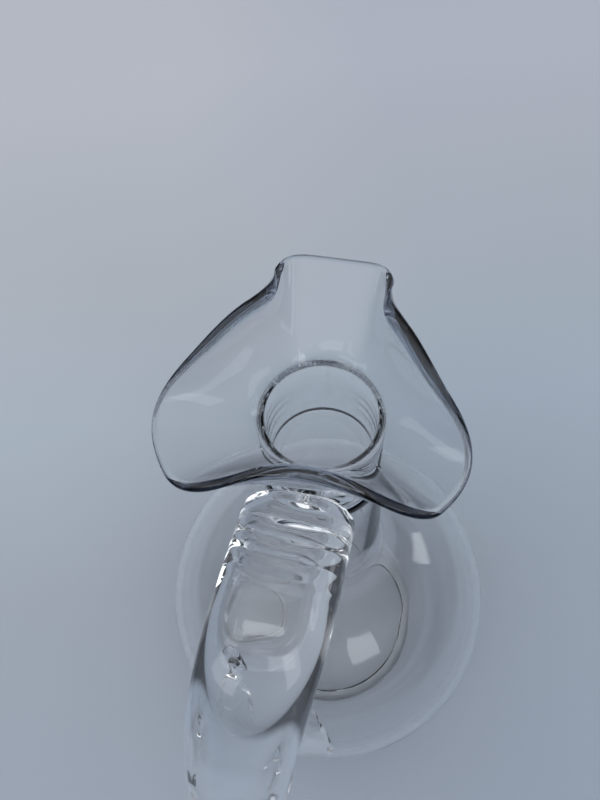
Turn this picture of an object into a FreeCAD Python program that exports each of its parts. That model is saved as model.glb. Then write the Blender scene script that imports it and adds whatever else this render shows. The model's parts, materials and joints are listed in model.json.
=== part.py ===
import FreeCAD, Part

# A hand-made clear glass jug: a globular bowl on a small foot, a round neck, a funnel lip
# pinched into three lobes, and one solid strap handle. Each gather or working zone of the glass
# is a solid of its own, and neighbours meet face to face where they are fused.
# Millimetres. The origin is the middle of the resting plane and +Z is up. The pouring lobe
# points along +X and the handle stands on the -X side.

import math
import os

V = FreeCAD.Vector
Z_AXIS = V(0, 0, 1)
ORIGIN = V(0, 0, 0)

# Bowl
bowl_r = 64.0
bowl_centre_z = 56.0
bowl_wall = 2.2
bowl_floor_z = 5.0              # underside, where the foot is stuck on
bowl_floor_thickness = 3.2
floor_rise = 2.5                # the inside of the floor is pushed up in the middle
outer_heel_r = 9.0              # rounding from the globe into the floor
inner_heel_r = 7.0

# Neck
throat_z = 219.0                # where the bore ends and the funnel begins
bore_r = 12.5
bore_length = 21.0
neck_wall = 1.8
relief_out = 1.2                # under the bore the tube widens by this much,
relief_drop = 3.5               # within this height
waist_r = 17.0                  # outside radius where the shoulder starts
shoulder_r = 35.0               # hollow rounding between neck and globe

# Lip, as the middle of the wall: the pinched outline is a circle set off centre,
# and each lobe swells out of it
lip_wall = 2.3
pinch_wall = 1.6                # the wall is this much thicker where the rim is pinched
rim_bead = 1.12                 # the rim is a little fatter than the wall
pinch_r = 18.9
pinch_offset = (2.0, 1.9)
pinch_height = 16.1             # above the throat
lobe_drop = 4.9                 # a lobe's tip hangs this much below the pinches
inner_start = 2.0               # how far each side of the wall climbs before it turns outwards
outer_start = 3.6
funnel_run = 0.6                # share of the way out that the last stretch takes
funnel_climb = 5.3
pinch_upright = 1.3             # where it is pinched, the wall stands this much more upright
pinch_climb = 4.0
azimuth_steps = 96
wall_steps = 12

# Each lobe: middle azimuth, radius, then half width and steepness of its two flanks
lobes = {
    "spout": (-0.5, 32.9, (21.2, 5.8), (27.9, 7.6)),
    "left": (129.2, 33.6, (38.3, 3.9), (20.7, 2.9)),
    "right": (230.1, 33.2, (19.7, 1.9), (39.0, 3.5)),
}
straight_reach = 40.0           # the spout's edge is straight this far round, in degrees

# Foot
foot_r = 40.5
foot_top_r = 39.0
ring_outer_r = 38.6
ring_inner_r = 35.0
hollow_z = 2.4
pontil_r = 9.5
pontil_depth = 1.1

# Handle: control points of its middle line, as distance behind the axis, height against the
# throat, and how far it leans sideways
handle_line = [
    (6.0, -16.0, 1.0),
    (21.0, -8.7, 1.6),
    (35.0, -1.9, 1.7),
    (49.0, -1.3, 2.7),
    (61.0, -11.4, 4.8),
    (70.8, -32.0, 6.6),
    (78.7, -60.0, 8.3),
    (82.5, -88.0, 9.4),
    (81.0, -114.0, 10.3),
    (74.0, -135.0, 10.2),
    (63.5, -148.0, 8.6),
    (50.0, -156.0, 5.5),
]
handle_width_top = 25.0
handle_width_low = 19.5
handle_thickness = 14.5
handle_stations = 64
ring_points = 24
oval_power = 0.86               # below 1 flattens the oval towards a strap
upper_cut_length = 21.0         # from the axis to the end of the upper joint, along the handle
lower_cut_length = 26.0         # the same at the lower end, from the inside of the bowl

# Folds of the upper joint, and the pad under the lower end
fold_depth = 0.55
fold_pitch = 4.2
upper_swell = 0.08              # the joint is this much fatter than the strap
pad_height = 22.5               # half sizes of the pad, along the bowl, across it and out of it
pad_width = 15.5
pad_depth = 6.5
pad_z = 79.0
pad_lean = 3.0                  # how far it sits to the side of the handle's root


def periodic_surface(rings):
    """A cubic surface on a net of closed rings: smooth around, and held at the end rings."""
    count = len(rings[0])
    stations = len(rings)
    poles = [[ring[i] for ring in rings] for i in range(count)]
    around_knots = list(range(count + 1))
    along_knots = list(range(stations - 2))
    along_mults = [4] + [1] * (stations - 4) + [4]
    surface = Part.BSplineSurface()
    surface.buildFromPolesMultsKnots(
        poles, [1] * (count + 1), along_mults, around_knots, along_knots, True, False, 3, 3)
    return surface


def solid_of(faces):
    shell = Part.makeShell(faces)
    shell.sewShape()
    solid = Part.makeSolid(shell)
    if solid.Volume < 0:
        solid.reverse()
    return solid


def revolved(edges):
    """Turn a closed outline, drawn in the XZ plane, round the Z axis."""
    return Part.Face(Part.Wire(edges)).revolve(ORIGIN, Z_AXIS, 360)


def at(r, z):
    return V(r, 0, z)


def line(start, end):
    return Part.makeLine(start, end)


def bezier(*points):
    curve = Part.BezierCurve()
    curve.setPoles(list(points))
    return curve.toShape()


def arc_about(centre, radius, start, end):
    """The short arc about a centre from the direction of one point to that of another."""
    a = (start - centre).normalize()
    b = (end - centre).normalize()
    middle = centre + (a + b).normalize() * radius
    return Part.Arc(centre + a * radius, middle, centre + b * radius).toShape()


# Points that the bowl and the neck share

bowl_centre = at(0, bowl_centre_z)
shoulder_x = waist_r + shoulder_r
shoulder_dz = math.sqrt((bowl_r + shoulder_r) ** 2 - shoulder_x ** 2)
shoulder_centre = at(shoulder_x, bowl_centre_z + shoulder_dz)
shoulder_dir = (shoulder_centre - bowl_centre).normalize()
seam_outer = bowl_centre + shoulder_dir * bowl_r
seam_inner = bowl_centre + shoulder_dir * (bowl_r - bowl_wall)
waist_z = shoulder_centre.z


def heel(globe_r, floor_z, heel_r):
    """Where a globe rounds into a flat floor: heel centre, point on the globe, point on the floor."""
    centre_z = floor_z + heel_r
    reach = globe_r - heel_r
    centre = at(math.sqrt(reach ** 2 - (bowl_centre_z - centre_z) ** 2), centre_z)
    on_globe = bowl_centre + (centre - bowl_centre).normalize() * globe_r
    return centre, on_globe, at(centre.x, floor_z)


def make_bowl():
    inner_floor_z = bowl_floor_z + bowl_floor_thickness
    inner_r = bowl_r - bowl_wall
    out_c, out_globe, out_floor = heel(bowl_r, bowl_floor_z, outer_heel_r)
    in_c, in_globe, in_floor = heel(inner_r, inner_floor_z, inner_heel_r)
    top = at(0, inner_floor_z + floor_rise)
    edges = [
        line(at(0, bowl_floor_z), out_floor),
        arc_about(out_c, outer_heel_r, out_floor, out_globe),
        arc_about(bowl_centre, bowl_r, out_globe, seam_outer),
        line(seam_outer, seam_inner),
        arc_about(bowl_centre, inner_r, seam_inner, in_globe),
        arc_about(in_c, inner_heel_r, in_globe, in_floor),
        bezier(in_floor, at(in_floor.x * 0.6, in_floor.z), at(in_floor.x * 0.4, top.z), top),
        line(top, at(0, bowl_floor_z)),
    ]
    return revolved(edges)


def neck_edges(top_r, low_r):
    """One side of the neck, from the throat down to the waist: bore, relief, taper."""
    bore_end_z = throat_z - bore_length
    relief = at(top_r + relief_out, bore_end_z - relief_drop)
    taper = (relief.z - waist_z) / 3.0
    return [
        line(at(top_r, throat_z), at(top_r, bore_end_z)),
        bezier(at(top_r, bore_end_z), at(top_r, bore_end_z - 0.2 * relief_drop),
               relief + at(0, 0.5 * relief_drop), relief),
        bezier(relief, relief - at(0, taper), at(low_r, waist_z + taper), at(low_r, waist_z)),
    ]


def make_neck():
    outer_r = bore_r + neck_wall
    inner_waist = at(waist_r - bowl_wall, waist_z)
    edges = [
        line(at(bore_r, throat_z), at(outer_r, throat_z)),
        *neck_edges(outer_r, waist_r),
        arc_about(shoulder_centre, shoulder_r, at(waist_r, waist_z), seam_outer),
        line(seam_outer, seam_inner),
        arc_about(shoulder_centre, shoulder_r + bowl_wall, seam_inner, inner_waist),
        *neck_edges(bore_r, inner_waist.x),
    ]
    return revolved(Part.sortEdges(edges)[0])


def make_neck_core():
    """The neck with its bore filled, to cut the handle back to the outside of it."""
    edges = [
        line(at(0, throat_z), at(bore_r + neck_wall, throat_z)),
        *neck_edges(bore_r + neck_wall, waist_r),
        line(at(waist_r, waist_z), at(0, waist_z)),
        line(at(0, waist_z), at(0, throat_z)),
    ]
    return revolved(edges)


def turn_from(azimuth, middle):
    """Degrees from a lobe's middle, between -180 and 180."""
    return (azimuth - middle + 180.0) % 360.0 - 180.0


def lobe_share(turn, flanks):
    """1 in a lobe's middle, one half at its half width, and 0 far from it."""
    half_width, steepness = flanks[0] if turn < 0 else flanks[1]
    return 1.0 / (1.0 + (abs(turn) / half_width) ** steepness)


def rim_at(azimuth):
    """At the rim: the radius and height of the wall's middle, and how pinched it is, 0 to 1."""
    a = math.radians(azimuth)
    pinched = pinch_r + pinch_offset[0] * math.cos(a) + pinch_offset[1] * math.sin(a)
    radius = pinched
    total = 0.0
    for name, (middle, lobe_r, low_flank, high_flank) in lobes.items():
        turn = turn_from(azimuth, middle)
        share = lobe_share(turn, (low_flank, high_flank))
        if name == "spout":
            held = max(-straight_reach, min(straight_reach, turn))
            lobe_r = lobe_r / math.cos(math.radians(held))
        radius += (lobe_r - pinched) * share
        total += share
    return radius, pinch_height - lobe_drop * total, 1.0 - min(total, 1.0)


def lip_line(azimuth, side):
    """Points up one side of the lip's wall. Side is 1 on the inside and -1 on the outside."""
    rim_r, rim_h, pinch = rim_at(azimuth)
    run = funnel_run * (rim_r - bore_r - neck_wall / 2.0) * (1.0 - pinch_upright * pinch)
    slope = at(run, funnel_climb + pinch_climb * pinch)
    wall = lip_wall + pinch_wall * pinch
    square = at(-slope.z, slope.x).normalize() * (side * wall / 2.0)
    base_r = bore_r if side > 0 else bore_r + neck_wall
    start = inner_start if side > 0 else outer_start
    p0 = at(base_r, 0)
    p1 = at(base_r, start)
    p3 = at(rim_r, rim_h) + square
    p2 = p3 - slope
    a = math.radians(azimuth)
    points = []
    for k in range(wall_steps):
        t = (k / (wall_steps - 1.0)) ** 1.3
        s = 1.0 - t
        p = p0 * s ** 3 + p1 * (3 * s * s * t) + p2 * (3 * s * t * t) + p3 * t ** 3
        points.append(V(p.x * math.cos(a), p.x * math.sin(a), throat_z + p.z))
    return points


def lip_rings():
    """Closed rings of control points: up the outer wall, round the rim, down the inner wall."""
    azimuths = [360.0 * i / azimuth_steps for i in range(azimuth_steps)]
    outer = [list(ring) for ring in zip(*[lip_line(a, -1) for a in azimuths])]
    inner = [list(ring) for ring in zip(*[lip_line(a, 1) for a in azimuths])]
    rim = [[], [], []]
    for i in range(azimuth_steps):
        across = (inner[-1][i] - outer[-1][i]) / 2.0
        middle = outer[-1][i] + across
        around = inner[-1][(i + 1) % azimuth_steps] - inner[-1][i - 1]
        beyond = around.cross(across).normalize() * across.Length
        for ring, turn in zip(rim, (-40.0, 0.0, 40.0)):
            s = math.sin(math.radians(turn))
            c = math.cos(math.radians(turn))
            ring.append(middle + (across * s + beyond * c) * (1.5 * rim_bead))
    return outer + rim + list(reversed(inner))


def widened(ring):
    """Undo the small inward pull of a cubic on a ring of control points."""
    pull = (2.0 + math.cos(2.0 * math.pi / azimuth_steps)) / 3.0
    return [V(p.x / pull, p.y / pull, p.z) for p in ring]


def make_lip():
    wall = periodic_surface([widened(ring) for ring in lip_rings()]).toShape()
    wall_edges = [e for e in wall.Edges if e.BoundBox.ZLength < 0.01]
    wall_edges.sort(key=lambda e: e.BoundBox.XLength, reverse=True)
    outline = [Part.Wire(e) for e in wall_edges[:2]]
    seat = Part.makeFace(outline, "Part::FaceMakerBullseye")
    return solid_of([wall, seat])


def make_foot():
    dimple_r = (pontil_r ** 2 + pontil_depth ** 2) / (2.0 * pontil_depth)
    dimple_centre = at(0, hollow_z + pontil_depth - dimple_r)
    edges = [
        line(at(0, hollow_z + pontil_depth), at(0, bowl_floor_z)),
        line(at(0, bowl_floor_z), at(foot_top_r, bowl_floor_z)),
        bezier(at(foot_top_r, bowl_floor_z), at(foot_r + 0.8, bowl_floor_z - 1.0),
               at(foot_r + 0.8, 0.4), at(ring_outer_r, 0)),
        line(at(ring_outer_r, 0), at(ring_inner_r, 0)),
        bezier(at(ring_inner_r, 0), at(ring_inner_r - 6.0, hollow_z * 0.6),
               at(pontil_r + 8.0, hollow_z), at(pontil_r, hollow_z)),
        arc_about(dimple_centre, dimple_r, at(pontil_r, hollow_z), at(0, hollow_z + pontil_depth)),
    ]
    return revolved(edges)


def handle_curve():
    curve = Part.BSplineCurve()
    curve.buildFromPoles([V(-q, y, throat_z + h) for q, h, y in handle_line], False, 3)
    return curve


def handle_frame(curve, distance):
    """Middle, direction, sideways and outward vectors at a distance along the handle."""
    u = curve.parameterAtDistance(distance, curve.FirstParameter)
    along = V(*curve.tangent(u)[0]).normalize()
    outward = along.cross(V(0, 1, 0)).normalize()
    sideways = outward.cross(along).normalize()
    return curve.value(u), along, sideways, outward


def folds(distance):
    """The stacked folds where the hot strap was doubled onto the neck, dying out along it."""
    fade = max(0.0, 1.0 - distance / (upper_cut_length * 1.7))
    return fold_depth * math.cos(2.0 * math.pi * distance / fold_pitch) * min(1.0, 2.0 * fade)


def oval(angle):
    """A point on the handle's flattened unit oval."""
    c = math.cos(angle)
    s = math.sin(angle)
    return math.copysign(abs(c) ** oval_power, c), math.copysign(abs(s) ** oval_power, s)


def strap(curve):
    """The whole handle as one solid, with both ends buried in the walls it is stuck to."""
    length = curve.length()
    rings = []
    for k in range(handle_stations):
        distance = length * k / (handle_stations - 1.0)
        middle, along, sideways, outward = handle_frame(curve, distance)
        swell = 1.0 + upper_swell * max(0.0, 1.0 - distance / (upper_cut_length * 1.5))
        width = handle_width_top + (handle_width_low - handle_width_top) * distance / length
        fold = folds(distance)
        half_w = width / 2.0 * swell + fold * 0.6
        half_t = handle_thickness / 2.0 * swell + fold
        ring = []
        for j in range(ring_points):
            c, s = oval(2.0 * math.pi * j / ring_points)
            ring.append(middle + sideways * (half_w * c) + outward * (half_t * s))
        rings.append(ring)
    side = periodic_surface(rings).toShape()
    ends = [Part.Face(Part.Wire(e)) for e in side.Edges if not e.isSeam(side.Faces[0])]
    return solid_of([side] + ends)


def lower_pad():
    """A long drop of glass pressed onto the bowl under the end of the handle."""
    dz = pad_z - bowl_centre_z
    lean = math.degrees(math.asin(dz / bowl_r))
    ball = Part.makeSphere(1.0)
    stretch = FreeCAD.Matrix()
    stretch.scale(pad_depth, pad_width, pad_height)
    pad = ball.transformGeometry(stretch)
    pad.rotate(ORIGIN, V(0, 1, 0), lean)
    pad.translate(V(-math.sqrt(bowl_r ** 2 - dz ** 2), pad_lean, pad_z))
    return pad


def end_block(point, direction):
    """A block that starts at a plane across the strap and takes in the end beyond it."""
    size = 60.0
    block = Part.makeBox(size, size, size, V(-size / 2, -size / 2, 0))
    turn = FreeCAD.Rotation(Z_AXIS, direction)
    block.Placement = FreeCAD.Placement(point, turn)
    return block


def largest(shape):
    """The biggest solid of a cut, without slivers."""
    return max(shape.Solids, key=lambda s: s.Volume)


def make_handle_parts():
    """The strap, cut where each joint begins, and cut back to the outside of neck and bowl."""
    curve = handle_curve()
    whole = strap(curve)
    upper_point, upper_dir, _, _ = handle_frame(curve, upper_cut_length)
    lower_point, lower_dir, _, _ = handle_frame(curve, curve.length() - lower_cut_length)
    upper_end = end_block(upper_point, -upper_dir)
    lower_end = end_block(lower_point, lower_dir)
    neck_core = make_neck_core()
    bowl_core = Part.makeSphere(bowl_r, bowl_centre)
    upper = largest(whole.common(upper_end).cut(neck_core))
    middle = largest(whole.cut(upper_end).cut(lower_end).cut(bowl_core))
    lower = largest(whole.common(lower_end).fuse(lower_pad()).cut(bowl_core).cut(middle))
    return upper, middle, lower


def main():
    upper, middle, lower = make_handle_parts()
    parts = {
        "bowl": make_bowl(),
        "neck": make_neck(),
        "pouring_lip": make_lip(),
        "foot": make_foot(),
        "upper_handle_joint": upper,
        "handle": middle,
        "lower_handle_joint": lower,
    }
    os.makedirs("parts", exist_ok=True)
    for name, shape in parts.items():
        box = shape.BoundBox
        print(f"{name}: solids {len(shape.Solids)}, valid {shape.isValid()}, "
              f"volume {shape.Volume / 1000:.1f} cm3, "
              f"x {box.XMin:.1f} {box.XMax:.1f}, y {box.YMin:.1f} {box.YMax:.1f}, "
              f"z {box.ZMin:.1f} {box.ZMax:.1f}")
        shape.exportStep(f"parts/{name}.step")


main()
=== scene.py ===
import json
import math
from bisect import bisect_right

import bmesh
import bpy
from mathutils import Matrix, Vector
from mathutils.geometry import delaunay_2d_cdt


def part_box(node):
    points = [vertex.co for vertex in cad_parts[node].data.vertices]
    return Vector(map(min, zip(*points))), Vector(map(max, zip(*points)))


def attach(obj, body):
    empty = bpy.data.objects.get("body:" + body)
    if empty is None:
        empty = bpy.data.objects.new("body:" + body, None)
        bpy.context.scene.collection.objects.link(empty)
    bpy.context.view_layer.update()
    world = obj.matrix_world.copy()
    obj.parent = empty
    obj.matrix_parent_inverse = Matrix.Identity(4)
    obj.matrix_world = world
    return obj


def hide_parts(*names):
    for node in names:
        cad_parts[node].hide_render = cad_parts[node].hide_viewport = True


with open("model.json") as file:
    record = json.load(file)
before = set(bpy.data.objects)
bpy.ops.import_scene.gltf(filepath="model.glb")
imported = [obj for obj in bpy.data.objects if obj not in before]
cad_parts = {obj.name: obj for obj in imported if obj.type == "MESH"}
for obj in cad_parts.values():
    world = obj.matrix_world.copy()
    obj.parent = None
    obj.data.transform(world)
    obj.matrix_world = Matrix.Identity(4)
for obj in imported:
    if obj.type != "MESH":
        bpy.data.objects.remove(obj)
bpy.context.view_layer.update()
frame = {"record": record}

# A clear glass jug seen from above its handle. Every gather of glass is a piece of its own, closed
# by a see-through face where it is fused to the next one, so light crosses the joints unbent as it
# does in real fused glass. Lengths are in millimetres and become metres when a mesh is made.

MM = 0.001


def mm_box(node):
    """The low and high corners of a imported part's box."""
    low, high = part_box(node)
    return low / MM, high / MM


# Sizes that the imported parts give
throat = next(m for m in frame["record"]["mounts"] if m["name"] == "throat")
bore_r = throat["dims"]["r_mm"]
bore_length = throat["dims"]["length_mm"]
bowl_low, bowl_high = mm_box("bowl")
bowl_r = min(bowl_high.x, bowl_high.y, -bowl_low.y)
floor_z = bowl_low.z
throat_z = mm_box("neck")[1].z

# Bowl and neck, which repeat the design. Outlines are in (radius, height).
bowl_centre = Vector((0, 56.0))
bowl_wall = 2.2
floor_thickness = 3.2
floor_rise = 2.5                # the inner floor's dome
outer_heel_r = 9.0              # where the globe rounds into its flat floor
inner_heel_r = 7.0
neck_wall = 1.8
relief_out = 1.2                # the neck's step outwards under the bore
relief_drop = 3.5
waist_r = 17.0
shoulder_r = 35.0
throat_outer_r = 14.3
throat_flare = Vector((0.8, 2.4))
mouth_stretch = 9.0             # the last part of the neck, which turns into the lip

# Lip
lip_wall = 2.3
pinch_wall = 1.6                # the wall is this much thicker where the rim is pinched
pinch_r = 18.9
pinch_offset = (2.0, 1.9)
pinch_height = 16.1             # above the throat
lobe_drop = 4.9
inner_start = 2.0               # how far the inside climbs before it turns outwards
funnel_run = 0.6
funnel_climb = 5.3
pinch_upright = 1.3             # where it is pinched, the wall leans back over the throat
pinch_climb = 4.0
straight_reach = 40.0           # the spout's edge is straight this many degrees either way
# Azimuth, radius, then half width and steepness of the flank below and above that azimuth
lobes = {
    "spout": (-0.5, 32.9, (21.2, 5.8), (27.9, 7.6)),
    "left": (129.2, 33.6, (38.3, 3.9), (20.7, 2.9)),
    "right": (230.1, 33.2, (19.7, 1.9), (39.0, 3.5)),
}

# Foot
foot_top_r = 39.0
foot_bulge = 0.8
foot_r = 40.5
ring_outer_r = 38.6
ring_inner_r = 35.0
hollow_z = 2.4
pontil_r = 9.5
pontil_depth = 1.1

# Handle: control points of its middle line as (out from the axis, height over the throat, left)
handle_line = [
    (6.0, -16.0, 1.0), (21.0, -8.7, 1.6), (35.0, -1.9, 1.7), (49.0, -1.3, 2.7),
    (61.0, -11.4, 4.8), (70.8, -32.0, 6.6), (78.7, -60.0, 8.3), (82.5, -88.0, 9.4),
    (81.0, -114.0, 10.3), (74.0, -135.0, 10.2), (63.5, -148.0, 8.6), (50.0, -156.0, 5.5),
]
handle_width_top = 25.0
handle_width_low = 19.5
handle_thickness = 13.8
oval_power = 0.86
upper_cut_length = 21.0
lower_cut_length = 26.0

# Mesh density
around = 192                    # segments round the vessel
lip_around = 384
tube_around = 96                # segments round the handle
tube_step = 0.72                # along the handle
line_steps = 400                # points that measure the handle's middle line
step = 1.2                      # along the walls
lip_stations = 40               # from the throat to the rim
rim_stations = 10               # over the rim
tiny = 1e-3
column = 2 * math.pi / around


# ---------------------------------------------------------------- outlines in (radius, height)

def arc(centre, radius, start, end):
    """Points on the short arc about a centre, from the direction of one point to that of another."""
    a = math.atan2(start.y - centre.y, start.x - centre.x)
    b = math.atan2(end.y - centre.y, end.x - centre.x)
    turn = (b - a + math.pi) % (2 * math.pi) - math.pi
    count = max(6, round(abs(turn) * radius / step))
    angles = [a + turn * k / count for k in range(count + 1)]
    return [centre + Vector((math.cos(t), math.sin(t))) * radius for t in angles]


def straight(start, end):
    """Points on a straight line."""
    count = max(1, round((end - start).length / step))
    return [start.lerp(end, k / count) for k in range(count + 1)]


def cubic(p0, p1, p2, p3, t):
    """A point on a Bezier curve."""
    s = 1 - t
    return p0 * s ** 3 + p1 * (3 * s * s * t) + p2 * (3 * s * t * t) + p3 * t ** 3


def bend(p0, p1, p2, p3):
    """Points along a Bezier curve."""
    count = max(8, round((p3 - p0).length / step))
    return [cubic(p0, p1, p2, p3, k / count) for k in range(count + 1)]


def join(*stretches):
    """One line from stretches that each begin where the last one ends."""
    points = list(stretches[0])
    for stretch in stretches[1:]:
        points += stretch[1:]
    return points


def at(r, z):
    """A point or a step in an outline."""
    return Vector((r, z))


def heel(globe_r, low_z, radius):
    """Where a globe rounds into a flat floor: centre, point on the globe, point on the floor."""
    centre_z = low_z + radius
    reach = globe_r - radius
    centre = at(math.sqrt(reach ** 2 - (bowl_centre.y - centre_z) ** 2), centre_z)
    on_globe = bowl_centre + (centre - bowl_centre).normalized() * globe_r
    return centre, on_globe, at(centre.x, low_z)


shoulder_x = waist_r + shoulder_r
shoulder_dz = math.sqrt((bowl_r + shoulder_r) ** 2 - shoulder_x ** 2)
shoulder_centre = bowl_centre + at(shoulder_x, shoulder_dz)
shoulder_dir = (shoulder_centre - bowl_centre).normalized()
seam_outer = bowl_centre + shoulder_dir * bowl_r
seam_inner = bowl_centre + shoulder_dir * (bowl_r - bowl_wall)
waist_z = shoulder_centre.y
bore_end_z = throat_z - bore_length


def neck_line(seam, arc_r, waist, top_r, mouth_r, flare):
    """A wall of the neck from the globe to the throat: hollow shoulder, taper, straight bore."""
    relief = at(top_r + relief_out, bore_end_z - relief_drop)
    taper = (relief.y - waist_z) / 3
    return join(
        arc(shoulder_centre, arc_r, seam, at(waist, waist_z)),
        bend(at(waist, waist_z), at(waist, waist_z + taper), relief - at(0, taper), relief),
        bend(relief, relief + at(0, 0.5 * relief_drop),
             at(top_r, bore_end_z - 0.2 * relief_drop), at(top_r, bore_end_z)),
        bend(at(top_r, bore_end_z), at(top_r, bore_end_z + mouth_stretch),
             at(mouth_r, throat_z) - flare, at(mouth_r, throat_z)))


def vessel_lines():
    """The outer wall from the foot to the throat, and the inner wall from the floor to the throat."""
    out_c, out_globe, out_floor = heel(bowl_r, floor_z, outer_heel_r)
    outer_bowl = join(straight(at(foot_top_r, floor_z), out_floor),
                      arc(out_c, outer_heel_r, out_floor, out_globe),
                      arc(bowl_centre, bowl_r, out_globe, seam_outer))
    inner_r = bowl_r - bowl_wall
    inner_floor_z = floor_z + floor_thickness
    in_c, in_globe, in_floor = heel(inner_r, inner_floor_z, inner_heel_r)
    top = at(0, inner_floor_z + floor_rise)
    dome = bend(top, at(in_floor.x * 0.4, top.y), at(in_floor.x * 0.6, in_floor.y), in_floor)
    inner_bowl = join(dome, arc(in_c, inner_heel_r, in_floor, in_globe),
                      arc(bowl_centre, inner_r, in_globe, seam_inner))
    outer_neck = neck_line(seam_outer, shoulder_r, waist_r, bore_r + neck_wall,
                           throat_outer_r, throat_flare)
    inner_neck = neck_line(seam_inner, shoulder_r + bowl_wall, waist_r - bowl_wall, bore_r,
                           bore_r, at(0, inner_start))
    return outer_bowl, inner_bowl, outer_neck, inner_neck


# ---------------------------------------------------------------- meshes

GLASS = 0
FUSED = 1


class Shell:
    """Collects one piece: its points, the true normals of its walls, and its faces."""

    def __init__(self):
        self.points = []
        self.normals = []
        self.faces = []
        self.kinds = []

    def add(self, point, normal):
        self.points.append(point)
        self.normals.append(normal)
        return len(self.points) - 1

    def face(self, indices, kind):
        self.faces.append(indices)
        self.kinds.append(kind)

    def band(self, low, high, kind):
        """Faces between two closed rings of points."""
        count = len(low)
        for i in range(count):
            j = (i + 1) % count
            self.face((low[i], low[j], high[j], high[i]), kind)

    def fan(self, ring, middle, kind):
        count = len(ring)
        for i in range(count):
            self.face((ring[i], ring[(i + 1) % count], middle), kind)

    def middle_of(self, ring):
        return sum((self.points[i] for i in ring), Vector()) / len(ring)

    def cap(self, ring):
        """A see-through face over a ring."""
        middle = self.middle_of(ring)
        self.fan(ring, self.add(middle, Vector((0, 0, 1))), FUSED)

    def make(self, name, materials):
        mesh = bpy.data.meshes.new(name)
        mesh.from_pydata([p * MM for p in self.points], [], self.faces)
        for material in materials:
            mesh.materials.append(material)
        mesh.polygons.foreach_set("material_index", self.kinds)
        mesh.polygons.foreach_set("use_smooth", [True] * len(self.faces))
        face_outwards(mesh)
        mesh.normals_split_custom_set_from_vertices(self.normals)
        mesh.validate()
        piece = bpy.data.objects.new(name, mesh)
        bpy.context.scene.collection.objects.link(piece)
        return piece


def face_outwards(mesh):
    """Turn every face of a closed mesh to look out of the glass."""
    work = bmesh.new()
    work.from_mesh(mesh)
    bmesh.ops.recalc_face_normals(work, faces=work.faces)
    work.to_mesh(mesh)
    work.free()


class Wall:
    """A surface turned round the axis. A place on it is an azimuth and a row, whole or between rows."""

    def __init__(self, line, outward):
        self.line = line
        self.side = 1 if outward else -1
        self.heights = [p.y for p in line]

    def flat(self, row):
        k = min(int(row), len(self.line) - 2)
        return self.line[k].lerp(self.line[k + 1], row - k)

    def point(self, azimuth, row):
        p = self.flat(row)
        return Vector((p.x * math.cos(azimuth), p.x * math.sin(azimuth), p.y))

    def normal(self, azimuth, row):
        last = len(self.line) - 1
        low = self.flat(max(row - 1, 0))
        high = self.flat(min(row + 1, last))
        climb = (high - low).normalized()
        r, z = climb.y * self.side, -climb.x * self.side
        return Vector((r * math.cos(azimuth), r * math.sin(azimuth), z))

    def row_at(self, height):
        """The row at a height, on a stretch where the line only climbs."""
        k = min(max(bisect_right(self.heights, height) - 1, 0), len(self.line) - 2)
        return k + (height - self.heights[k]) / (self.heights[k + 1] - self.heights[k])

    def rings(self, shell, first, last):
        """Adds the rows from first to last to a shell, and returns their rings."""
        return [[shell.add(self.point(i * column, k), self.normal(i * column, k))
                 for i in range(around)] for k in range(first, last + 1)]


def walled(shell, rings, hole=None):
    """Faces between rings, leaving out the cells of a hole."""
    for k in range(len(rings) - 1):
        for i in range(around):
            if hole and hole["rows"][0] <= k < hole["rows"][1] and i in hole["columns"]:
                continue
            j = (i + 1) % around
            shell.face((rings[k][i], rings[k][j], rings[k + 1][j], rings[k + 1][i]), GLASS)


def hole_cells(wall, first_row, hole):
    """The rows and columns of grid points that bound a hole's cells, and a flat map of the wall."""
    rows = range(hole["rows"][0], hole["rows"][1] + 1)
    columns = hole["columns"] + [(hole["columns"][-1] + 1) % around]
    across = wall.flat(first_row + (rows[0] + rows[-1]) / 2).x
    upward = (wall.flat(first_row + rows[-1]) - wall.flat(first_row + rows[0])).length / len(rows)
    return rows, columns, Vector((across, upward))


def kept_points(rings, first_row, cells, flat_outline):
    """The grid points of a hole that stay: flat places and owners. Those near the outline go."""
    rows, columns, scale = cells
    clear = 0.45 * min(scale.x * column, scale.y)
    points = []
    owners = []
    for k in rows:
        for i in columns:
            p = Vector((i * column, first_row + k)) * scale
            edge = k in (rows[0], rows[-1]) or i in (columns[0], columns[-1])
            if edge or min((p - q).length for q in flat_outline) > clear:
                points.append(p)
                owners.append(rings[k][i])
    return points, owners


def fill_hole(shell, wall, rings, first_row, hole, outline):
    """Meshes the cells of a hole again, so that the outline of a joint is an edge in them.

    The outline is a list of (azimuth, row). Inside it the faces are see-through."""
    cells = hole_cells(wall, first_row, hole)
    flat_outline = [Vector(place) * cells[2] for place in outline]
    points, owners = kept_points(rings, first_row, cells, flat_outline)
    start = len(points)
    points += flat_outline
    owners += [shell.add(wall.point(a, r), wall.normal(a, r)) for a, r in outline]
    edges = [(start + k, start + (k + 1) % len(outline)) for k in range(len(outline))]
    made = delaunay_2d_cdt(points, edges, [], 0, 1e-6)
    found, faces, origins = made[0], made[2], made[3]
    for face in faces:
        centre = sum((found[v] for v in face), Vector((0, 0))) / len(face)
        kind = FUSED if inside(centre, flat_outline) else GLASS
        shell.face(tuple(owners[origins[v][0]] for v in face), kind)


def inside(p, outline):
    """True if p lies inside a closed outline, by counting crossings."""
    hits = 0
    for k in range(len(outline)):
        a = outline[k - 1]
        b = outline[k]
        if (a.y > p.y) != (b.y > p.y) and p.x < a.x + (p.y - a.y) * (b.x - a.x) / (b.y - a.y):
            hits += 1
    return hits % 2 == 1


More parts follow.
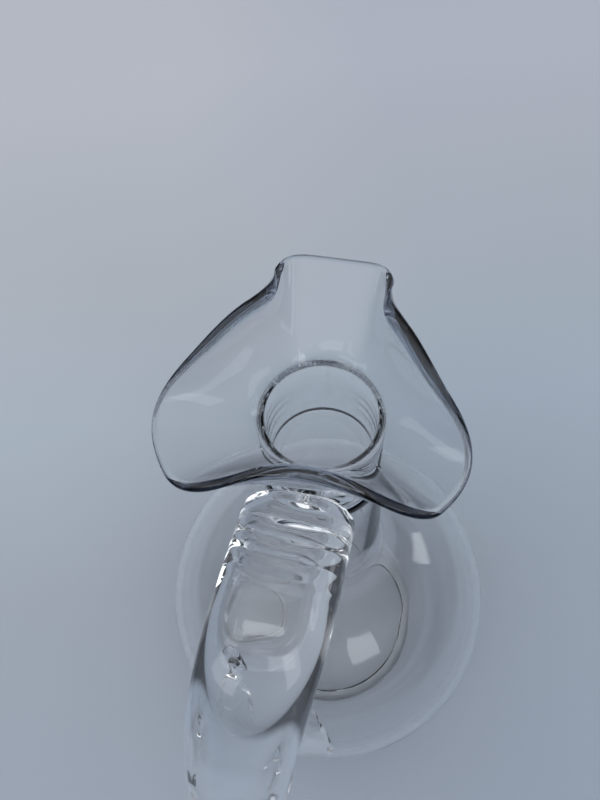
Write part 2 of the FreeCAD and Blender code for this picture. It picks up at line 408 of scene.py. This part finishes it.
def hole_round(wall, first_row, outline):
    """The cells of a wall that an outline reaches, with one more all round."""
    rows = [r - first_row for _, r in outline]
    columns = [a / column for a, _ in outline]
    return {"rows": (math.floor(min(rows)) - 1, math.ceil(max(rows)) + 1),
            "columns": list(range(math.floor(min(columns)) - 1, math.ceil(max(columns)) + 1))}


# ---------------------------------------------------------------- lip

def turn_from(azimuth, middle):
    """The way round from one azimuth to another, in degrees from -180 to 180."""
    return (azimuth - middle + 180.0) % 360.0 - 180.0


def rim_at(azimuth):
    """At the rim: the radius and height of the wall's middle, and how pinched it is, 0 to 1."""
    a = math.radians(azimuth)
    pinched = pinch_r + pinch_offset[0] * math.cos(a) + pinch_offset[1] * math.sin(a)
    radius = pinched
    total = 0.0
    for name, (middle, lobe_r, low_flank, high_flank) in lobes.items():
        turn = turn_from(azimuth, middle)
        half_width, steepness = low_flank if turn < 0 else high_flank
        share = 1 / (1 + (abs(turn) / half_width) ** steepness)
        if name == "spout":
            held = max(-straight_reach, min(straight_reach, turn))
            lobe_r = lobe_r / math.cos(math.radians(held))
        radius += (lobe_r - pinched) * share
        total += share
    return radius, pinch_height - lobe_drop * total, 1 - min(total, 1)


def lip_rim(azimuth):
    """In (radius, height above the throat): the rim's middle, the slope into it, and its wall."""
    rim_r, rim_h, pinch = rim_at(azimuth)
    run = funnel_run * (rim_r - bore_r - neck_wall / 2) * (1 - pinch_upright * pinch)
    wall = lip_wall + pinch_wall * pinch
    return at(rim_r, rim_h), at(run, funnel_climb + pinch_climb * pinch), wall


def lip_point(azimuth, t, side):
    """A point on the lip's wall, with t from 0 at the throat to 1 at the rim.

    Side is 1 on the inside, which faces up, and -1 on the outside."""
    rim, slope, wall = lip_rim(azimuth)
    square = at(-slope.y, slope.x).normalized() * (side * wall / 2)
    base = at(bore_r if side > 0 else throat_outer_r, 0)
    start = at(0, inner_start) if side > 0 else throat_flare
    end = rim + square
    p = cubic(base, base + start, end - slope, end, t)
    a = math.radians(azimuth)
    return Vector((p.x * math.cos(a), p.x * math.sin(a), throat_z + p.y))


def along_lip(azimuth, t, side):
    """A short step round the lip."""
    return lip_point(azimuth + 0.05, t, side) - lip_point(azimuth - 0.05, t, side)


def lip_normal(azimuth, t, side):
    """The way out of the glass on the lip's wall."""
    climb = lip_point(azimuth, min(t + tiny, 1), side) - lip_point(azimuth, max(t - tiny, 0), side)
    return climb.cross(along_lip(azimuth, t, side)).normalized() * side


def make_lip(materials):
    """The funnel: rings up the outside, over the rounded rim and down the inside."""
    shell = Shell()
    rows = [(k / lip_stations) ** 1.5 for k in range(lip_stations + 1)]
    turns = [math.pi * k / rim_stations for k in range(1, rim_stations)]
    outer = [[] for _ in rows]
    inner = [[] for _ in rows]
    rim = [[] for _ in turns]
    for i in range(lip_around):
        azimuth = 360.0 * i / lip_around
        for ring, side in ((outer, -1), (inner, 1)):
            for k, t in enumerate(rows):
                ring[k].append(shell.add(lip_point(azimuth, t, side), lip_normal(azimuth, t, side)))
        a = shell.points[outer[-1][-1]]
        b = shell.points[inner[-1][-1]]
        across = (b - a) / 2
        beyond = along_lip(azimuth, 1, 1).cross(across).normalized() * across.length
        for ring, turn in zip(rim, turns):
            out = beyond * math.sin(turn) - across * math.cos(turn)
            ring.append(shell.add((a + b) / 2 + out, out.normalized()))
    rings = outer + rim + list(reversed(inner))
    for low, high in zip(rings, rings[1:]):
        shell.band(low, high, GLASS)
    shell.band(inner[0], outer[0], FUSED)
    return shell.make("pouring_lip", materials)


# ---------------------------------------------------------------- handle

def spline_point(poles, u):
    """A uniform cubic spline on control points, held at both ends, with u from 0 to 1."""
    spans = len(poles) - 3
    knots = [0.0] * 3 + [float(k) for k in range(spans + 1)] + [float(spans)] * 3
    x = u * spans
    k = min(int(x), spans - 1) + 3
    d = [poles[j + k - 3].copy() for j in range(4)]
    for r in range(1, 4):
        for j in range(3, r - 1, -1):
            low = knots[j + k - 3]
            share = (x - low) / (knots[j + 1 + k - r] - low)
            d[j] = d[j - 1].lerp(d[j], share)
    return d[3]


handle_poles = [Vector((-q, y, throat_z + h)) for q, h, y in handle_line]
line_points = [spline_point(handle_poles, k / line_steps) for k in range(line_steps + 1)]
line_lengths = [0.0]
for before, after in zip(line_points, line_points[1:]):
    line_lengths.append(line_lengths[-1] + (after - before).length)
handle_length = line_lengths[-1]
probe = 0.5                     # half a step along the handle, to find its direction


def handle_middle(distance):
    """A point on the handle's middle line."""
    k = min(max(bisect_right(line_lengths, distance) - 1, 0), len(line_points) - 2)
    share = (distance - line_lengths[k]) / (line_lengths[k + 1] - line_lengths[k])
    return spline_point(handle_poles, min(max((k + share) / line_steps, 0), 1))


def flattened(x):
    """A sine or cosine that gives an oval its flatter sides."""
    return math.copysign(abs(x) ** oval_power, x)


def section(angle, distance):
    """A point on the plain strap. At angle 90 degrees it is on the outside, away from the hand."""
    ahead = min(distance + probe, handle_length)
    behind = max(distance - probe, 0)
    along = (handle_middle(ahead) - handle_middle(behind)).normalized()
    outward = along.cross(Vector((0, 1, 0))).normalized()
    sideways = outward.cross(along).normalized()
    share = distance / handle_length
    width = handle_width_top + (handle_width_low - handle_width_top) * share
    return (handle_middle(distance) + sideways * (width / 2 * flattened(math.cos(angle)))
            + outward * (handle_thickness / 2 * flattened(math.sin(angle))))


# Footprints of the two joints, as offsets on the wall: sideways and upwards
upper_print_z = 205.5
upper_print_half = (12.6, 10.8)
lower_print_z = 74.0
lower_print_half = (15.5, 15.0, 30.0)       # across, downwards and upwards
lower_print_lean = 3.0
lower_print_narrowing = 0.25               # towards the point
print_probe = 0.05                         # half a step round an outline
leave_inwards = 0.75                       # how the skin sets off: over the joint, and off the wall
leave_outwards = 0.66


def upper_print(angle):
    """Azimuth and row of the upper joint's outline on the neck."""
    across = upper_print_half[0] * math.cos(angle)
    height = upper_print_z + upper_print_half[1] * math.sin(angle)
    return math.pi + across / (bore_r + neck_wall), outer_wall.row_at(height)


def lower_print(angle):
    """Azimuth and row of the lower joint's outline on the bowl: a drop with its point upwards."""
    c = math.cos(angle)
    s = math.sin(angle)
    up = lower_print_half[2] if s < 0 else lower_print_half[1]
    across = lower_print_half[0] * c * (1 - lower_print_narrowing * max(0.0, -s))
    rise = -up * s / bowl_r + math.asin((lower_print_z - bowl_centre.y) / bowl_r)
    height = bowl_centre.y + bowl_r * math.sin(rise)
    sideways = across - lower_print_lean
    return math.pi + sideways / (bowl_r * math.cos(rise)), outer_wall.row_at(height)


def leave_wall(angle, outline):
    """Where a joint's skin leaves the wall, and the way it sets off."""
    azimuth, row = outline(angle)
    point = outer_wall.point(azimuth, row)
    normal = outer_wall.normal(azimuth, row)
    low = outline(angle - print_probe)
    high = outline(angle + print_probe)
    edge = outer_wall.point(*high) - outer_wall.point(*low)
    inwards = normal.cross(edge).normalized()
    opposite = outline(angle + math.pi)
    middle = outer_wall.point((azimuth + opposite[0]) / 2, (row + opposite[1]) / 2)
    if inwards.dot(middle - point) < 0:
        inwards.negate()
    return point, (inwards * leave_inwards + normal * leave_outwards).normalized()


def hermite(p0, d0, p1, d1, t):
    """A point on the curve between two points that leaves and arrives with given slopes."""
    return (p0 * (2 * t ** 3 - 3 * t ** 2 + 1) + d0 * (t ** 3 - 2 * t ** 2 + t)
            + p1 * (3 * t ** 2 - 2 * t ** 3) + d1 * (t ** 3 - t ** 2))


upper_blend = 17.0              # the skin is the plain strap from this far along it
lower_blend = 30.0
set_off = 16.0                  # how strongly a joint's skin keeps its first direction

fold_pitch = 4.1
fold_depth = 0.9
fold_slant = 0.9
fold_reach = 34.0
fold_start = 5.0
fold_limit = 40.0               # beyond this the skin is smooth
fold_side = 0.35                # share of the depth that is left on the sides and underneath
fold_crease = 0.65              # how much of a roll lies below the plain skin


def folds(angle, distance):
    """Stacked rolls where the hot strap was doubled onto the neck, dying out along it."""
    place = distance + fold_slant * math.cos(angle)
    fade = min(1.0, distance / fold_start) * max(0.0, 1.0 - distance / fold_reach) ** 0.8
    face = fold_side + (1 - fold_side) * max(0.0, math.sin(angle)) ** 0.5
    return fold_depth * fade * face * (abs(math.cos(math.pi * place / fold_pitch)) - fold_crease)


def joint_skin(angle, outline, strap_start, ahead, blend, gone):
    """A joint's outside, from its outline on the wall to where the plain strap starts."""
    start, way = leave_wall(angle, outline)
    end = section(angle, strap_start)
    on = section(angle, strap_start + ahead) - section(angle, strap_start - ahead)
    return hermite(start, way * set_off, end, on * blend, gone / blend)


def skin(angle, distance):
    """The outside of handle and joints, from the neck at distance 0 to the bowl at the end."""
    rest = handle_length - distance
    if distance < upper_blend:
        return joint_skin(angle, upper_print, upper_blend, probe, upper_blend, distance)
    if rest < lower_blend:
        return joint_skin(angle, lower_print, handle_length - lower_blend, -probe, lower_blend,
                          max(rest, 0))
    return section(angle, distance)


def folded_skin(angle, distance):
    """The skin with its folds."""
    point = skin(angle, distance)
    if distance > fold_limit:
        return point
    out = (point - handle_middle(max(distance, 3.0))).normalized()
    return point + out * folds(angle, distance)


def skin_normal(angle, distance):
    """The way out of the glass on the skin, up to its sign."""
    around_it = folded_skin(angle + 0.01, distance) - folded_skin(angle - 0.01, distance)
    low = max(distance - 0.1, 0)
    high = min(distance + 0.1, handle_length)
    along = folded_skin(angle, high) - folded_skin(angle, low)
    return along.cross(around_it).normalized()


def make_strap(name, first, last, materials):
    """The handle or one of its joints, from one distance to another."""
    shell = Shell()
    count = max(4, round((last - first) / tube_step))
    angles = [2 * math.pi * j / tube_around for j in range(tube_around)]
    rings = []
    for k in range(count + 1):
        distance = first + (last - first) * k / count
        rings.append([shell.add(folded_skin(angle, distance), skin_normal(angle, distance))
                      for angle in angles])
    out = shell.points[rings[count // 2][0]] - shell.middle_of(rings[count // 2])
    if shell.normals[rings[count // 2][0]].dot(out) < 0:
        shell.normals = [-n for n in shell.normals]
    for low, high in zip(rings, rings[1:]):
        shell.band(low, high, GLASS)
    shell.cap(rings[0])
    shell.cap(rings[-1])
    return shell.make(name, materials)


# ---------------------------------------------------------------- vessel pieces

outer_bowl, inner_bowl, outer_neck, inner_neck = vessel_lines()
outer_wall = Wall(join(outer_bowl, outer_neck), True)
inner_wall = Wall(join(inner_bowl, inner_neck), False)
outer_seam_row = len(outer_bowl) - 1
inner_seam_row = len(inner_bowl) - 1
throat_row = len(outer_wall.line) - 1
inner_throat_row = len(inner_wall.line) - 1


def outline_of(shape):
    """A footprint's outline as a list of (azimuth, row)."""
    return [shape(2 * math.pi * j / tube_around) for j in range(tube_around)]


def make_neck(materials):
    """The tube from the globe's seam to the throat, with the upper joint's footprint in it."""
    shell = Shell()
    outer = outer_wall.rings(shell, outer_seam_row, throat_row)
    inner = inner_wall.rings(shell, inner_seam_row, inner_throat_row)
    outline = outline_of(upper_print)
    hole = hole_round(outer_wall, outer_seam_row, outline)
    walled(shell, outer, hole)
    walled(shell, inner)
    fill_hole(shell, outer_wall, outer, outer_seam_row, hole, outline)
    shell.band(outer[0], inner[0], FUSED)
    shell.band(outer[-1], inner[-1], FUSED)
    return shell.make("neck", materials)


def make_bowl(materials):
    """The globe, with its inner floor, its flat seat on the foot and the lower joint's footprint."""
    shell = Shell()
    outer = outer_wall.rings(shell, 0, outer_seam_row)
    inner = inner_wall.rings(shell, 1, inner_seam_row)
    outline = outline_of(lower_print)
    hole = hole_round(outer_wall, 0, outline)
    walled(shell, outer, hole)
    walled(shell, inner)
    fill_hole(shell, outer_wall, outer, 0, hole, outline)
    shell.band(outer[-1], inner[-1], FUSED)
    top = inner_wall.line[0]
    shell.fan(inner[0], shell.add(Vector((0, 0, top.y)), Vector((0, 0, 1))), GLASS)
    shell.fan(outer[0], shell.add(Vector((0, 0, floor_z)), Vector((0, 0, -1))), FUSED)
    return shell.make("bowl", materials)


def make_foot(materials):
    """The disc the jug stands on: a rounded edge, a standing ring, a hollow and a dimple."""
    shell = Shell()
    dimple_r = (pontil_r ** 2 + pontil_depth ** 2) / (2 * pontil_depth)
    dimple_centre = at(0, hollow_z + pontil_depth - dimple_r)
    widest_r = foot_r + foot_bulge
    line = join(
        bend(at(foot_top_r, floor_z), at(widest_r, floor_z - 1.0), at(widest_r, 0.4),
             at(ring_outer_r, 0)),
        straight(at(ring_outer_r, 0), at(ring_inner_r, 0)),
        bend(at(ring_inner_r, 0), at(ring_inner_r - 6.0, hollow_z * 0.6),
             at(pontil_r + 8.0, hollow_z), at(pontil_r, hollow_z)),
        arc(dimple_centre, dimple_r, at(pontil_r, hollow_z), at(0, hollow_z + pontil_depth)))
    wall = Wall(line, False)
    rings = wall.rings(shell, 0, len(line) - 2)
    walled(shell, rings)
    top = shell.add(Vector((0, 0, line[-1].y)), Vector((0, 0, -1)))
    shell.fan(rings[-1], top, GLASS)
    shell.cap(rings[0])
    return shell.make("foot", materials)


# ---------------------------------------------------------------- materials

glass_tint = (0.985, 0.99, 0.992, 1)
# Depth and width of the slow waves that hand work leaves in a surface
blown_waves = (0.02, 18.0)
foot_waves = (0.02, 12.0)
drawn_waves = (0.03, 14.0)
depth_colour = (0.55, 0.60, 0.68, 1.0)  # what a long way through the lip's glass takes off
depth_density = 85.0


def node_material(name):
    """A new material with no nodes in it yet."""
    material = bpy.data.materials.new(name)
    material.use_nodes = True
    nodes = material.node_tree.nodes
    nodes.clear()
    return material, nodes, material.node_tree.links


def glass_material(name, waves):
    """Clear glass whose surface has the slow, shallow waves of hand work."""
    material, nodes, links = node_material(name)
    out = nodes.new("ShaderNodeOutputMaterial")
    glass = nodes.new("ShaderNodeBsdfPrincipled")
    glass.inputs["Base Color"].default_value = glass_tint
    glass.inputs["Transmission Weight"].default_value = 1.0
    glass.inputs["Roughness"].default_value = 0.0
    glass.inputs["IOR"].default_value = 1.5
    place = nodes.new("ShaderNodeTexCoord")
    noise = nodes.new("ShaderNodeTexNoise")
    noise.inputs["Scale"].default_value = 1.0 / (waves[1] * MM)
    noise.inputs["Detail"].default_value = 1.0
    bump = nodes.new("ShaderNodeBump")
    bump.inputs["Strength"].default_value = 1.0
    bump.inputs["Distance"].default_value = waves[0] * MM
    links.new(place.outputs["Object"], noise.inputs["Vector"])
    links.new(noise.outputs["Fac"], bump.inputs["Height"])
    links.new(bump.outputs["Normal"], glass.inputs["Normal"])
    links.new(glass.outputs["BSDF"], out.inputs["Surface"])
    return material


def add_depth(material):
    """Makes the lip's glass greyer the further light goes through it, as along its pinched rim.

    The face on the neck has to be the same material, so that light leaves the depth there. What
    makes that face see-through is its height."""
    nodes = material.node_tree.nodes
    links = material.node_tree.links
    out = next(n for n in nodes if n.type == "OUTPUT_MATERIAL")
    glass = next(n for n in nodes if n.type == "BSDF_PRINCIPLED")
    place = next(n for n in nodes if n.type == "TEX_COORD")
    depth = nodes.new("ShaderNodeVolumeAbsorption")
    depth.inputs["Color"].default_value = depth_colour
    depth.inputs["Density"].default_value = depth_density
    links.new(depth.outputs["Volume"], out.inputs["Volume"])
    split = nodes.new("ShaderNodeSeparateXYZ")
    above = nodes.new("ShaderNodeMath")
    above.operation = "GREATER_THAN"
    above.inputs[1].default_value = (throat_z + 0.01) * MM
    links.new(place.outputs["Object"], split.inputs["Vector"])
    links.new(split.outputs["Z"], above.inputs[0])
    links.new(above.outputs["Value"], glass.inputs["Alpha"])


def fused_material():
    """The inside of a hot joint, where there is no surface to see."""
    material, nodes, links = node_material("fused_joint")
    out = nodes.new("ShaderNodeOutputMaterial")
    clear = nodes.new("ShaderNodeBsdfTransparent")
    links.new(clear.outputs["BSDF"], out.inputs["Surface"])
    return material


# ---------------------------------------------------------------- stage

view_turn = math.radians(15.0)          # the spout points this far to the right of straight away
view_down = math.radians(61.3)
view_roll = math.radians(-5.0)
throat_from_camera = Vector((4.67, -3.29, -148.3))
sensor_width = 36.0
focal_length = 30.6

floor_size = 6.0                        # metres from the middle to an edge
floor_gap = 0.2                         # keeps the floor just clear of the standing ring
pool_middle = 0.22                      # the painted pool of light on the floor, in metres
pool_size = (0.62, 0.42, 1.0)
# Painted light and shade on the floor, a pool of light that darkens towards the camera and outside, as
# (place, colour): away from the camera, across, and out from the middle
painted_light_along = [(0.0, (0.24, 0.27, 0.32)), (0.16, (0.37, 0.42, 0.49)), (0.28, (0.415, 0.455, 0.52)),
               (0.34, (0.43, 0.47, 0.525)), (0.42, (0.495, 0.55, 0.61)), (0.51, (0.53, 0.56, 0.595)),
               (0.67, (0.615, 0.625, 0.67))]
painted_light_across = [(0.40, (0.96, 0.99, 1.02)), (0.60, (1.08, 1.08, 1.08))]
painted_shade_edge = [(0.85, (1.0, 1.0, 1.0)), (1.0, (0.12, 0.12, 0.125))]
painted_caustic_r = 0.056                      # painted light under the bowl, standing in for the light that the bowl gathers under itself
painted_caustic = [(0.55, (1.75, 1.7, 1.68)), (1.0, (1.0, 1.0, 1.0))]
# Shades of the sky by the sine of the elevation
sky = [(0.0, (0.05, 0.055, 0.065)), (0.25, (0.06, 0.066, 0.078)),
       (0.6, (0.45, 0.47, 0.51)), (1.0, (1.05, 1.08, 1.13))]
# Windows of the studio: azimuth, elevation, width and height in degrees, and brightness
windows = [(-80, 37, 30, 8, 1.3), (72, 32, 20, 7, 1.3), (146, 26, 34, 20, 1.7),
           (-143, 36, 20, 34, 1.8), (172, 56, 14, 7, 1.0), (-60, 12, 18, 12, 2.0)]
window_distance = 1.5
window_colour = (0.92, 0.96, 1.0)

through_glass = 96                      # how often light may go through a face of glass,
off_glass = 16                          # be reflected by one,
through_joints = 64                     # and cross a see-through face


def ramp_node(nodes, table):
    """A colour ramp with the stops of a table."""
    ramp = nodes.new("ShaderNodeValToRGB")
    stops = ramp.color_ramp.elements
    while len(stops) < len(table):
        stops.new(0.5)
    for stop, (position, colour) in zip(stops, table):
        stop.position = position
        stop.color = (*colour, 1)
    return ramp


def times(nodes, links, first, second):
    """Two colours multiplied."""
    both = nodes.new("ShaderNodeVectorMath")
    both.operation = "MULTIPLY"
    links.new(first, both.inputs[0])
    links.new(second, both.inputs[1])
    return both.outputs["Vector"]


def shade_along(nodes, links, value, table):
    """A ramp over a coordinate that runs from -1 to 1."""
    span = nodes.new("ShaderNodeMapRange")
    span.inputs["From Min"].default_value = -1.0
    span.inputs["From Max"].default_value = 1.0
    links.new(value, span.inputs["Value"])
    ramp = ramp_node(nodes, table)
    links.new(span.outputs["Result"], ramp.inputs["Fac"])
    return ramp.outputs["Color"]


def shade_out(nodes, links, vector, table):
    """A ramp over the distance from a middle."""
    far = nodes.new("ShaderNodeVectorMath")
    far.operation = "LENGTH"
    links.new(vector, far.inputs[0])
    ramp = ramp_node(nodes, table)
    links.new(far.outputs["Value"], ramp.inputs["Fac"])
    return ramp.outputs["Color"]


def placed(nodes, links, middle, turn, size):
    """Floor coordinates measured from a middle, turned, in units of a size."""
    place = nodes.new("ShaderNodeTexCoord")
    pool = nodes.new("ShaderNodeMapping")
    pool.vector_type = "TEXTURE"
    pool.inputs["Location"].default_value = middle
    pool.inputs["Rotation"].default_value = (0, 0, turn)
    pool.inputs["Scale"].default_value = size
    links.new(place.outputs["Object"], pool.inputs["Vector"])
    return pool.outputs["Vector"]


def painted_floor_light(nodes, links):
    """Painted light on the floor: a pool of light graded along and across, painted shade outside it,
    and painted light under the bowl.
    """
    middle = (pool_middle * math.cos(view_turn), pool_middle * math.sin(view_turn), 0)
    pool = placed(nodes, links, middle, view_turn, pool_size)
    split = nodes.new("ShaderNodeSeparateXYZ")
    links.new(pool, split.inputs["Vector"])
    shade = times(nodes, links, shade_along(nodes, links, split.outputs["X"], painted_light_along),
                  shade_along(nodes, links, split.outputs["Y"], painted_light_across))
    shade = times(nodes, links, shade, shade_out(nodes, links, pool, painted_shade_edge))
    under = placed(nodes, links, (0, 0, -floor_gap * MM), 0, (painted_caustic_r, painted_caustic_r, 1.0))
    return times(nodes, links, shade, shade_out(nodes, links, under, painted_caustic))


def make_floor():
    """A pale sheet with a painted pool of light, falling off into painted shade for the dark of the
    room.
    """
    mesh = bpy.data.meshes.new("floor")
    signs = ((-1, -1), (1, -1), (1, 1), (-1, 1))
    corners = [(x * floor_size, y * floor_size, -floor_gap * MM) for x, y in signs]
    mesh.from_pydata(corners, [], [(0, 1, 2, 3)])
    material, nodes, links = node_material("floor")
    out = nodes.new("ShaderNodeOutputMaterial")
    paint = nodes.new("ShaderNodeBsdfPrincipled")
    paint.inputs["Roughness"].default_value = 0.8
    # The base colour carries the painted pool of light, the painted shade round it and the painted
    # light under the bowl.
    links.new(painted_floor_light(nodes, links), paint.inputs["Base Color"])
    links.new(paint.outputs["BSDF"], out.inputs["Surface"])
    mesh.materials.append(material)
    floor = bpy.data.objects.new("floor", mesh)
    bpy.context.scene.collection.objects.link(floor)


def make_world():
    """A soft studio: bright overhead, dark near the horizon."""
    world = bpy.data.worlds.new("studio")
    world.use_nodes = True
    nodes = world.node_tree.nodes
    links = world.node_tree.links
    nodes.clear()
    out = nodes.new("ShaderNodeOutputWorld")
    back = nodes.new("ShaderNodeBackground")
    place = nodes.new("ShaderNodeTexCoord")
    split = nodes.new("ShaderNodeSeparateXYZ")
    ramp = ramp_node(nodes, sky)
    links.new(place.outputs["Generated"], split.inputs["Vector"])
    links.new(split.outputs["Z"], ramp.inputs["Fac"])
    links.new(ramp.outputs["Color"], back.inputs["Color"])
    links.new(back.outputs["Background"], out.inputs["Surface"])
    bpy.context.scene.world = world


def make_window(azimuth, elevation, width, height, brightness):
    """A rectangle of light that faces the throat."""
    light = bpy.data.lights.new("window", "AREA")
    light.shape = "RECTANGLE"
    light.size = 2 * window_distance * math.tan(math.radians(width / 2))
    light.size_y = 2 * window_distance * math.tan(math.radians(height / 2))
    light.energy = brightness * math.pi * light.size * light.size_y
    light.color = window_colour
    a = math.radians(azimuth)
    e = math.radians(elevation)
    way = Vector((math.cos(a) * math.cos(e), math.sin(a) * math.cos(e), math.sin(e)))
    lamp = bpy.data.objects.new("window", light)
    lamp.location = Vector((0, 0, throat_z * MM)) + way * window_distance
    lamp.rotation_euler = way.to_track_quat("Z", "Y").to_euler()
    bpy.context.scene.collection.objects.link(lamp)


def make_camera():
    """The view from above the handle, close to the mouth."""
    level = math.cos(view_down)
    forward = Vector((level * math.cos(view_turn), level * math.sin(view_turn),
                      -math.sin(view_down)))
    right = Vector((math.sin(view_turn), -math.cos(view_turn), 0))
    up = right.cross(forward)
    axes = Matrix((right, up, -forward)).transposed() @ Matrix.Rotation(view_roll, 3, "Z")
    place = Vector((0, 0, throat_z)) - axes @ throat_from_camera
    data = bpy.data.cameras.new("camera")
    data.sensor_width = sensor_width
    data.lens = focal_length
    data.clip_start = 0.001
    camera = bpy.data.objects.new("camera", data)
    camera.matrix_world = Matrix.Translation(place * MM) @ axes.to_4x4()
    bpy.context.scene.collection.objects.link(camera)
    bpy.context.scene.camera = camera


def make_pieces():
    """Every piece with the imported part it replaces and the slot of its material."""
    fused = fused_material()
    blown = glass_material("blown_glass", blown_waves)
    lip_glass = glass_material("lip_glass", blown_waves)
    add_depth(lip_glass)
    foot_glass = glass_material("foot_glass", foot_waves)
    drawn = glass_material("handle_glass", drawn_waves)
    upper_end = upper_cut_length
    lower_start = handle_length - lower_cut_length
    return [
        (make_bowl([blown, fused]), "bowl", "blown_glass"),
        (make_neck([blown, fused]), "neck", "blown_glass"),
        (make_lip([lip_glass, lip_glass]), "pouring_lip", "blown_glass"),
        (make_foot([foot_glass, fused]), "foot", "foot_glass"),
        (make_strap("upper_joint", 0, upper_end, [drawn, fused]), "upper_handle_joint",
         "handle_glass"),
        (make_strap("strap", upper_end, lower_start, [drawn, fused]), "handle", "handle_glass"),
        (make_strap("lower_joint", lower_start, handle_length, [drawn, fused]),
         "lower_handle_joint", "handle_glass"),
    ]


def main():
    """The jug, its studio and the view."""
    for piece, node, slot in make_pieces():
        piece.name = "glass_" + node
        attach(piece, "root")
        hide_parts(node)
    make_floor()
    make_world()
    for window in windows:
        make_window(*window)
    make_camera()
    scene = bpy.context.scene
    scene.view_settings.view_transform = "Standard"
    scene.cycles.max_bounces = through_glass
    scene.cycles.transmission_bounces = through_glass
    scene.cycles.glossy_bounces = off_glass
    scene.cycles.transparent_max_bounces = through_joints


main()
